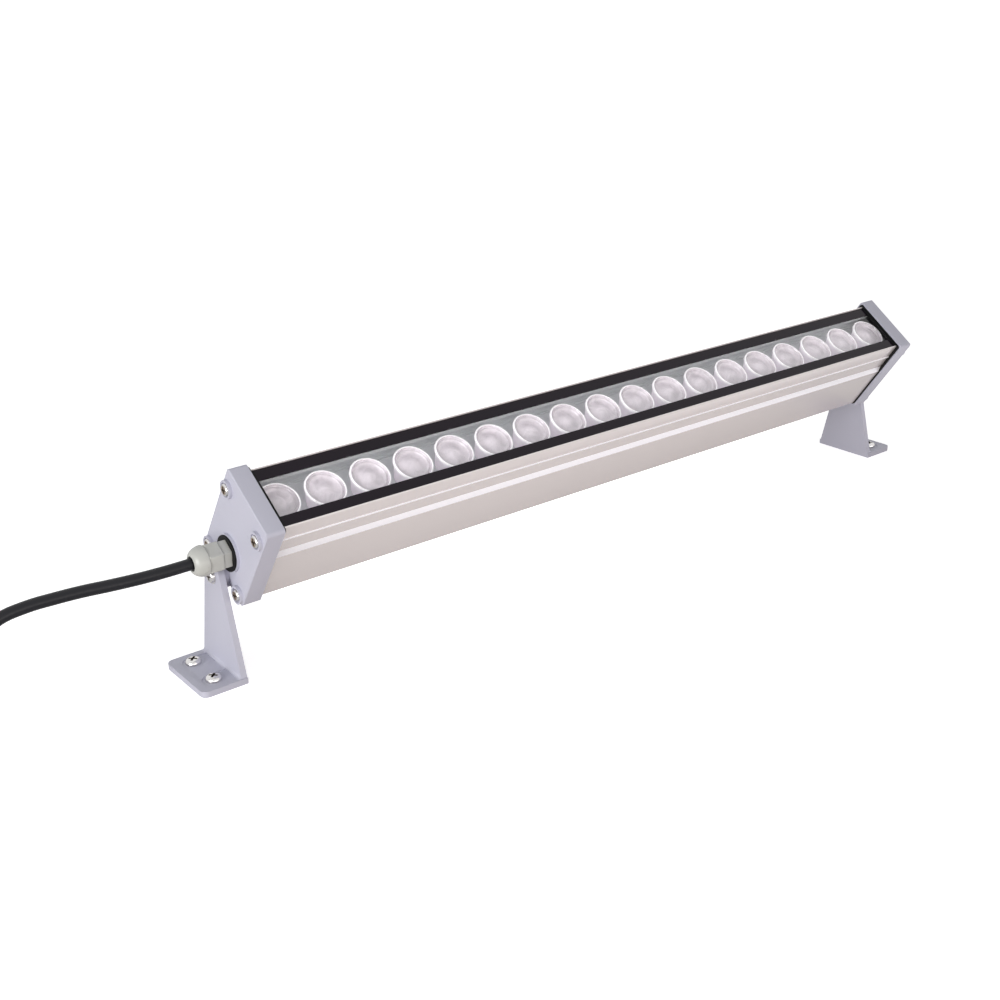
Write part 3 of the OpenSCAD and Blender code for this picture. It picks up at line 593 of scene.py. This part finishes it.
class WASHER_OT_screws(bpy.types.Operator):
    """Makes the cap screws, the pivot screws and the foot screws"""
    bl_idname = "washer.screws"
    bl_label = "Screws"

    def execute(self, context):
        blade = context.scene.washer_sizes.recess_width
        for side, name in ((-1, "left"), (1, "right")):
            cap = [placed(painted_shade_top(cross_screw(*CAP_SCREW, blade), HEAD_SHADE_RADIUS), outwards(side, CAP_SEAT, u, v))
                   for u in CAP_SCREWS_U for v in CAP_SCREWS_V]
            caps = piece_from(joined(cap), name + "_cap_pan_screws", "steel", "lamp_head",
                              [name + "_cap_screws"])
            pivot = placed(cross_screw(*PIVOT_SCREW, blade), outwards(side, PIVOT_SEAT, 0, 0))
            pivots = piece_from(pivot, name + "_pivot_pan_screw", "steel", "lamp_head",
                                [name + "_pivot_screw"])
            low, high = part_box(name + "_foot_screws")
            x, seat = (low.x + high.x) / 2, high.z - FOOT_SCREW[3]
            feet = [placed(cross_screw(*FOOT_SCREW, FOOT_BLADE * blade),
                           Matrix.Translation((x, PIVOT.y + y, seat)))
                    for y in FOOT_SCREWS_Y]
            floor = piece_from(joined(feet), name + "_foot_pan_screws", "steel", name + "_foot",
                               [name + "_foot_screws"])
            also(caps, "recess", "head_painted_shade")
            also(pivots, "recess")
            also(floor, "recess")
            dress(name + "_pivot_washer", "steel")
        return {"FINISHED"}


# Castings

class WASHER_OT_castings(bpy.types.Operator):
    """Rounds the edges of the two end caps and the two brackets and paints them"""
    bl_idname = "washer.castings"
    bl_label = "End caps and brackets"

    def execute(self, context):
        edge = context.scene.washer_sizes.casting_edge
        for name in ("left", "right"):
            cap = piece_from(merged_copy(name + "_end_cap"), name + "_cap_casting", "casting", "lamp_head",
                             [name + "_end_cap"])
            soften(cap, edge)
            bracket = piece_from(merged_copy(name + "_bracket"), name + "_bracket_casting", "casting",
                                 name + "_foot", [name + "_bracket"])
            soften(bracket, edge)
        return {"FINISHED"}


# Gland

# Edges of the nylon that turn by more degrees than this are rounded
NYLON_ANGLE = 25
# Rounding of the rubber washer's edges
WASHER_EDGE = 0.3 * MM


class WASHER_OT_gland(bpy.types.Operator):
    """Rounds the moulded edges of the cable gland and gives its parts their finishes"""
    bl_idname = "washer.gland"
    bl_label = "Cable gland"

    def execute(self, context):
        edge = context.scene.washer_sizes.nylon_edge
        for node in ("gland_nut", "gland_body"):
            part = piece_from(merged_copy(node), node + "_moulding", "nylon", "lamp_head", [node])
            soften(part, edge, angle=NYLON_ANGLE)
        washer = piece_from(merged_copy("gland_washer"), "gland_sealing_washer", "rubber", "lamp_head",
                            ["gland_washer"])
        soften(washer, WASHER_EDGE)
        dress("gland_locknut", "nylon")
        dress("gland_seal", "rubber")
        dress("supply_lead", "sheath")
        return {"FINISHED"}


# Lens row

LENS_RADIUS, LENS_HEIGHT = 11.25 * MM, 13.4 * MM
# Above this height the outside gets the rim's painted glow
RIM_BASE = 12.9 * MM
# A lens from the hollow over its chip, round its base and up its flank: radius, height and rounding
LENS_FLANK = [(0, 3.2 * MM, 0), (3.4 * MM, 3.2 * MM, 0), (3.4 * MM, 0, 0), (7 * MM, 0, 0.3 * MM),
              (10.3 * MM, 11 * MM, 0), (LENS_RADIUS, 11.9 * MM, 0.2 * MM)]
# A lens's face from its rim inwards, as shares of its radius and of the trough's depth
DISH_SHARES = [(0.985, 0.3), (0.95, 0.6), (0.92, 0.68), (0.9, 0.5), (0.875, 0.5), (0.85, 0.74), (0.8, 0.92),
               (0.74, 1.0), (0.66, 0.96), (0.56, 0.84), (0.46, 0.66), (0.36, 0.46), (0.26, 0.28), (0.16, 0.16),
               (0.07, 0.1), (0, 0.1)]
# Indices of a lens's finishes; its flank has 0
FACE, RIM_PAINTED_GLOW = 1, 2


class WASHER_OT_lenses(bpy.types.Operator):
    """Turns the row of frosted lenses, each with a rounded rim and a dished face"""
    bl_idname = "washer.lenses"
    bl_label = "Lens row"

    def execute(self, context):
        sizes = context.scene.washer_sizes
        inner = LENS_RADIUS - sizes.rim_width
        dish = [(inner * across, LENS_HEIGHT - sizes.dish_depth * down, 0) for across, down in DISH_SHARES]
        profile = [*LENS_FLANK, (LENS_RADIUS, LENS_HEIGHT, sizes.rim_rounding),
                   (inner, LENS_HEIGHT, sizes.rim_rounding / 2), *dish]
        for i in range(1, LENS_COUNT + 1):
            lens = turned(profile, steps=56, segments=3)
            for f in lens.faces:
                centre = f.calc_center_median()
                # The rim gets the painted glow
                if centre.z > RIM_BASE and centre.xy.length > inner:
                    f.material_index = RIM_PAINTED_GLOW
                elif f.normal.z > STEEP:
                    f.material_index = FACE
            x = (i - (LENS_COUNT + 1) / 2) * LENS_PITCH
            placed(lens, LAMP @ Matrix.Translation((x, 0, BOARD_TOP)))
            node = "lens_%02d" % i
            piece = piece_from(lens, "frosted_" + node, "lens", "lamp_head", [node])
            also(piece, "face", "rim")
        return {"FINISHED"}


class WASHER_OT_light_engine(bpy.types.Operator):
    """Gives the board, the chips, the driver and its leads their finishes"""
    bl_idname = "washer.light_engine"
    bl_label = "Light engine"

    def execute(self, context):
        for node, finish in (("led_board", "mask"), ("led_chips", "phosphor"), ("driver", "driver"),
                             ("driver_leads", "red")):
            dress(node, finish)
        return {"FINISHED"}


# Housing

# Between the flats of the head and those of the body lie the beads and the slopes of the shoulders, which get the
# painted highlight
HEAD_HALF, BODY_HALF = 19.01 * MM, 20.09 * MM
# The light chamber: its half width and half length, its base, and where its walls turn from painted light to
# painted shade
CHAMBER_INSIDE, CHAMBER_HALF = 17.6 * MM, 245 * MM
WEB_BASE, WALL_STEP = 34 * MM, 50.5 * MM
# Indices of the housing's finishes; its skin has 0
UPPER_WALL_PAINTED_SHADE, BEAD_PAINTED_HIGHLIGHT, LOWER_WALL_PAINTED_LIGHT = 1, 2, 3
# Edges of the housing that turn by more degrees than this are rounded
EXTRUSION_ANGLE = 12


class WASHER_OT_housing(bpy.types.Operator):
    """Gives the housing, its glass, seals and gaskets their finishes"""
    bl_idname = "washer.housing"
    bl_label = "Housing and glass"

    def execute(self, context):
        shell, flat = merged_copy("housing"), LAMP.inverted()
        bmesh.ops.bisect_plane(shell, geom=[*shell.verts, *shell.edges, *shell.faces], dist=MERGE,
                               plane_co=LAMP @ Vector((0, 0, WALL_STEP)),
                               plane_no=LAMP.to_3x3() @ Vector((0, 0, 1)))
        for f in shell.faces:
            place = flat @ f.calc_center_median()
            if HEAD_HALF < abs(place.y) < BODY_HALF and place.z > WEB_BASE:
                # The beads and shoulder slopes get the painted highlight
                f.material_index = BEAD_PAINTED_HIGHLIGHT
            elif abs(place.y) < CHAMBER_INSIDE and place.z > WEB_BASE and abs(place.x) < CHAMBER_HALF:
                # The upper walls get the painted shade and the lower walls the painted light
                f.material_index = UPPER_WALL_PAINTED_SHADE if place.z > WALL_STEP else LOWER_WALL_PAINTED_LIGHT
        skin = piece_from(shell, "housing_extrusion", "extrusion", "lamp_head", ["housing"])
        also(skin, "chamber", "bead_painted_highlight", "lower_wall_painted_light")
        soften(skin, context.scene.washer_sizes.extrusion_edge, angle=EXTRUSION_ANGLE, segments=2)
        for node, finish in (("glass_cover", "glass"), ("front_glass_seal", "border"),
                             ("rear_glass_seal", "border"), ("left_gasket", "rubber"), ("right_gasket", "rubber")):
            dress(node, finish)
        return {"FINISHED"}


# Supply cable, in millimetres up to its route

# The gland's mouth beyond the lamp's end, and each straight step before and after the coil
GLAND_MOUTH, STRAIGHT = 21.85, 6.2
# The hanging stretch, from the gland to the floor
CABLE_POINTS = [[-284, 4.8, 69.7], [-297, 5.7, 69.7], [-311, 8, 69.6], [-325, 11, 69.5],
                [-338, 12.5, 69.4], [-351, 13.5, 69], [-364.5, 14.5, 66.5], [-375.5, 15, 59],
                [-383, 15, 48], [-386, 15.5, 34.5], [-387, 17.5, 22.5], [-389, 23.5, 13], [-392, 32.5, 6.5]]
# The coil: its middle, the height of its axis, its first angle, and how it winds inwards
COIL_CENTRE, COIL_Z, COIL_START = (-438, 43), 4.1, 18
COIL_RADIUS, COIL_PITCH, COIL_TURNS = 39.8, 7.4, 2
# Steps between two points of the hanging stretch, in one turn of the coil and along a core
ROUTE_STEPS, COIL_STEPS, CORE_STEPS = 5, 60, 16
# Sides of the tubes
CABLE_SIDES, CORE_SIDES = 16, 12

# Each core: its side of the cable's middle, the angle that it bends through, and its finish
CORES = (-1, 86, "brown"), (0, 120, "green"), (1, 178, "blue")
# Spacing of the cores, their shift towards the coil's middle, their straight start and the length of their bend
CORE_SPACING, CORE_SHIFT, CORE_STRAIGHT, CORE_BEND = 1.3, 0.3, 0.6, 24
CORE_RADIUS, TIP_RADIUS, TIP_LENGTH, TIP_OVERLAP = 0.95, 0.6, 7, 0.05


def coil_polar(turn):
    """The coil's angle and radius after so many turns."""
    return math.radians(COIL_START + 360 * turn), COIL_RADIUS - COIL_PITCH * turn


def coil_point(turn):
    """The middle of the cable after so many turns."""
    a, r = coil_polar(turn)
    return Vector((COIL_CENTRE[0] + r * math.cos(a), COIL_CENTRE[1] + r * math.sin(a), COIL_Z))


def coil_heading(turn):
    """The way that the cable runs after so many turns."""
    a, r = coil_polar(turn)
    inwards = COIL_PITCH / math.tau
    x, y = -r * math.sin(a) - inwards * math.cos(a), r * math.cos(a) - inwards * math.sin(a)
    return Vector((x, y, 0)).normalized()


def smooth_route(points, steps):
    """A smooth curve through points, in steps, with each tangent from the neighbours."""
    route = []
    for i in range(len(points) - 1):
        a, b, c, d = points[max(i - 1, 0)], points[i], points[i + 1], points[min(i + 2, len(points) - 1)]
        for k in range(steps):
            t = k / steps
            route.append(b + (c - a) / 2 * t + (a - 2.5 * b + 2 * c - d / 2) * t * t
                         + (1.5 * b - a / 2 - 1.5 * c + d / 2) * t ** 3)
    return route + [points[-1]]


def swept(points, radius, sides):
    """A closed tube along points, as a bmesh."""
    curve = bpy.data.curves.new("route", "CURVE")
    curve.dimensions, curve.bevel_depth, curve.bevel_resolution = "3D", radius, (sides - 4) // 2
    curve.use_fill_caps = True
    spline = curve.splines.new("POLY")
    spline.points.add(len(points) - 1)
    for point, place in zip(spline.points, points):
        point.co = (*place, 1)
    holder = bpy.data.objects.new("route", curve)
    bpy.context.scene.collection.objects.link(holder)
    bpy.context.view_layer.update()
    mesh = bpy.data.meshes.new_from_object(holder.evaluated_get(bpy.context.evaluated_depsgraph_get()))
    bm = bmesh.new()
    bm.from_mesh(mesh)
    bmesh.ops.remove_doubles(bm, verts=bm.verts, dist=MERGE)
    bmesh.ops.recalc_face_normals(bm, faces=bm.faces)
    bpy.data.objects.remove(holder)
    bpy.data.meshes.remove(mesh)
    return bm


class WASHER_OT_supply_cable(bpy.types.Operator):
    """Lays the supply cable from the gland down to the floor and into its coil, with its ties and cores"""
    bl_idname = "washer.supply_cable"
    bl_label = "Supply cable"

    def execute(self, context):
        width = context.scene.washer_sizes.cable_diameter
        gland = LAMP @ Vector((-LAMP_HALF - GLAND_MOUTH * MM, 0, GLAND_RISE))
        lead_in = [coil_point(0) - k * STRAIGHT * coil_heading(0) for k in (2, 1)]
        free = smooth_route([gland / MM] + [Vector(p) for p in CABLE_POINTS] + lead_in, ROUTE_STEPS)
        turns = [coil_point(i / COIL_STEPS) for i in range(COIL_TURNS * COIL_STEPS + 1)]
        tail = coil_point(COIL_TURNS) + STRAIGHT * coil_heading(COIL_TURNS)
        route = [p * MM for p in free + turns + [tail]]
        cable = piece_from(swept(route, width / 2, CABLE_SIDES), "supply_cable", "sheath", None,
                           ["cable", "cable_coil"])
        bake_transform(cable)
        dress("cable_ties", "tie")
        cores = self.cores()
        return {"FINISHED"}

    def cores(self):
        """The three insulated cores beyond the sheath, each with its bare tip."""
        h, made = coil_heading(COIL_TURNS), []
        start = coil_point(COIL_TURNS) + STRAIGHT * h
        inward = Vector((-h.y, h.x, 0))
        for k, turn, name in CORES:
            bend = CORE_BEND / math.radians(turn)
            origin = start + (CORE_SPACING * k + CORE_SHIFT) * inward
            lift = Vector((0, 0, -CORE_SPACING / 2 if k else CORE_SPACING))
            drop = Vector((0, 0, CORE_RADIUS - COIL_Z))
            arc = [origin + lift]
            for i in range(CORE_STEPS + 1):
                t = i / CORE_STEPS
                a = math.radians(turn * t)
                arc.append(origin + (CORE_STRAIGHT + bend * math.sin(a)) * h + bend * (1 - math.cos(a)) * inward
                           + lift * (1 - t) + drop * t * t * (3 - 2 * t))
            way = math.cos(math.radians(turn)) * h + math.sin(math.radians(turn)) * inward
            core = piece_from(swept([p * MM for p in arc], CORE_RADIUS * MM, CORE_SIDES), name + "_core", name,
                              "left_foot", ["cable_cores"])
            ends = [(arc[-1] - TIP_OVERLAP * way) * MM, (arc[-1] + TIP_LENGTH * way) * MM]
            tip = piece_from(swept(ends, TIP_RADIUS * MM, CORE_SIDES), name + "_core_tip", "tinned", "left_foot",
                             ["cable_cores"])
            made += [core, tip]
        return made


# Stage

# The camera's place and axes in metres, and its focal length in pixels of a picture of this width
CAMERA_PLACE = (-0.521951, -0.582891, 0.348668)
CAMERA_RIGHT = (0.789325, -0.613339, -0.027944)
CAMERA_DOWN = (-0.249597, -0.278966, -0.927297)
CAMERA_AHEAD = (0.560952, 0.738914, -0.373282)
FOCAL_PIXELS, PICTURE_PIXELS, SENSOR_WIDTH = 1359.69, 1000, 36

# Each lamp: its name, place, target, size, power in watts and tint
LAMPS = (("key", (-1.3, -0.42, 0.3), (-0.1, 0, 0.05), (0.8, 0.6), 10.6, "FFFFFF"),
         ("front", (-0.1, -1.7, 0.2), (0, 0, 0.06), (2.0, 0.35), 6.7, "FFF8F4"),
         ("bounce", (0.22, -0.125, 0.002), (0.22, -0.125, 1), (0.84, 0.16), 0.29, "FBFBFF"))
# The floor: its paper's tone and the tone and glow that the camera sees
PAPER, WHITE, PAPER_GLOW = "D9D0CA", "FFFFFF", 0.62
FLOOR_SIZE = 30
# Strength of the room as a light, and where it shows as the background
ROOM_LIGHT, ROOM_SEEN = 0.43, 1.0


def lamp_card(name, place, target, size, power, tint):
    """A soft lamp that the camera doesn't see."""
    light = bpy.data.lights.new(name, "AREA")
    light.shape, light.size, light.size_y, light.energy = "RECTANGLE", size[0], size[1], power
    light.color = linear(tint)[:3]
    holder = bpy.data.objects.new(name, light)
    holder.location = place
    holder.rotation_euler = (Vector(target) - Vector(place)).to_track_quat("-Z", "Y").to_euler()
    holder.visible_camera = False
    bpy.context.scene.collection.objects.link(holder)


class WASHER_OT_stage(bpy.types.Operator):
    """Sets the camera, a plain pale floor, soft lamps and a white background"""
    bl_idname = "washer.stage"
    bl_label = "Stage"

    def execute(self, context):
        scene = context.scene
        camera = bpy.data.objects.new("camera", bpy.data.cameras.new("camera"))
        camera.data.sensor_width = SENSOR_WIDTH
        camera.data.lens = SENSOR_WIDTH * FOCAL_PIXELS / PICTURE_PIXELS
        camera.data.clip_start, camera.data.clip_end = 0.01, 50
        columns = [Vector(CAMERA_RIGHT), -Vector(CAMERA_DOWN), -Vector(CAMERA_AHEAD)]
        camera.matrix_world = Matrix.Translation(CAMERA_PLACE) @ Matrix(columns).transposed().to_4x4()
        scene.collection.objects.link(camera)
        scene.camera = camera
        scene.view_settings.view_transform = "Standard"

        bm = bmesh.new()
        bmesh.ops.create_grid(bm, x_segments=1, y_segments=1, size=FLOOR_SIZE)
        mesh = bpy.data.meshes.new("floor")
        bm.to_mesh(mesh)
        bm.free()
        floor = bpy.data.objects.new("floor", mesh)
        scene.collection.objects.link(floor)
        # Pale paper: the camera sees it white, and its own warm tone lights the piece from below
        paper, tree, shader, _ = finish_named("backdrop_paper", linear(PAPER), 0.9)
        tone = add(tree, "ShaderNodeMix", {"data_type": "RGBA"}, _0=self.seen(tree), _6=linear(PAPER),
                   _7=linear(WHITE))
        tree.links.new(tone.outputs[2], shader.inputs["Base Color"])
        shader.inputs["Emission Color"].default_value = linear(WHITE)
        path = add(tree, "ShaderNodeLightPath")
        lift = add(tree, "ShaderNodeMath", {"operation": "MULTIPLY"}, _0=path.outputs["Is Camera Ray"],
                   _1=PAPER_GLOW)
        tree.links.new(lift.outputs[0], shader.inputs["Emission Strength"])
        mesh.materials.append(paper)

        world = bpy.data.worlds.new("studio")
        scene.world = world
        world.use_nodes = True
        tree = world.node_tree
        tree.nodes.clear()
        level = add(tree, "ShaderNodeMapRange", None, _0=self.seen(tree), _3=ROOM_LIGHT, _4=ROOM_SEEN)
        sky = add(tree, "ShaderNodeBackground", None, Color=[1, 1, 1, 1], Strength=level.outputs[0])
        add(tree, "ShaderNodeOutputWorld", None, Surface=sky.outputs[0])
        for lamp in LAMPS:
            lamp_card(*lamp)
        return {"FINISHED"}

    def seen(self, tree):
        """1 for rays that show the background: from the camera, a reflection or clear glass."""
        path = add(tree, "ShaderNodeLightPath")
        either = add(tree, "ShaderNodeMath", {"operation": "MAXIMUM"}, _0=path.outputs["Is Camera Ray"],
                     _1=path.outputs["Is Glossy Ray"])
        any_of = add(tree, "ShaderNodeMath", {"operation": "MAXIMUM"}, _0=either.outputs[0],
                     _1=path.outputs["Is Transmission Ray"])
        return any_of.outputs[0]


class WASHER_PT_panel(bpy.types.Panel):
    """Lists the light's pieces, in the order in which they are made"""
    bl_idname = "WASHER_PT_panel"
    bl_label = "Wall washer light"
    bl_space_type = "VIEW_3D"
    bl_region_type = "UI"
    bl_category = "Washer"

    def draw(self, context):
        for group in (context.scene.washer_sizes, context.scene.washer_colours):
            for name in group.__annotations__:
                self.layout.prop(group, name)
        for operator in OPERATORS:
            self.layout.operator(operator.bl_idname)


OPERATORS = (WASHER_OT_stage, WASHER_OT_supply_cable, WASHER_OT_housing, WASHER_OT_light_engine, WASHER_OT_lenses,
             WASHER_OT_castings, WASHER_OT_gland, WASHER_OT_screws)
CLASSES = (WasherSizes, WasherColours, *OPERATORS, WASHER_PT_panel)


def register():
    for cls in CLASSES:
        bpy.utils.register_class(cls)
    bpy.types.Scene.washer_sizes = PointerProperty(type=WasherSizes)
    bpy.types.Scene.washer_colours = PointerProperty(type=WasherColours)


def unregister():
    del bpy.types.Scene.washer_sizes
    del bpy.types.Scene.washer_colours
    for cls in reversed(CLASSES):
        bpy.utils.unregister_class(cls)


def main():
    """Makes the pieces in turn."""
    register()
    for operator in OPERATORS:
        group, name = operator.bl_idname.split(".")
        getattr(getattr(bpy.ops, group), name)()


if __name__ == "__main__":
    main()
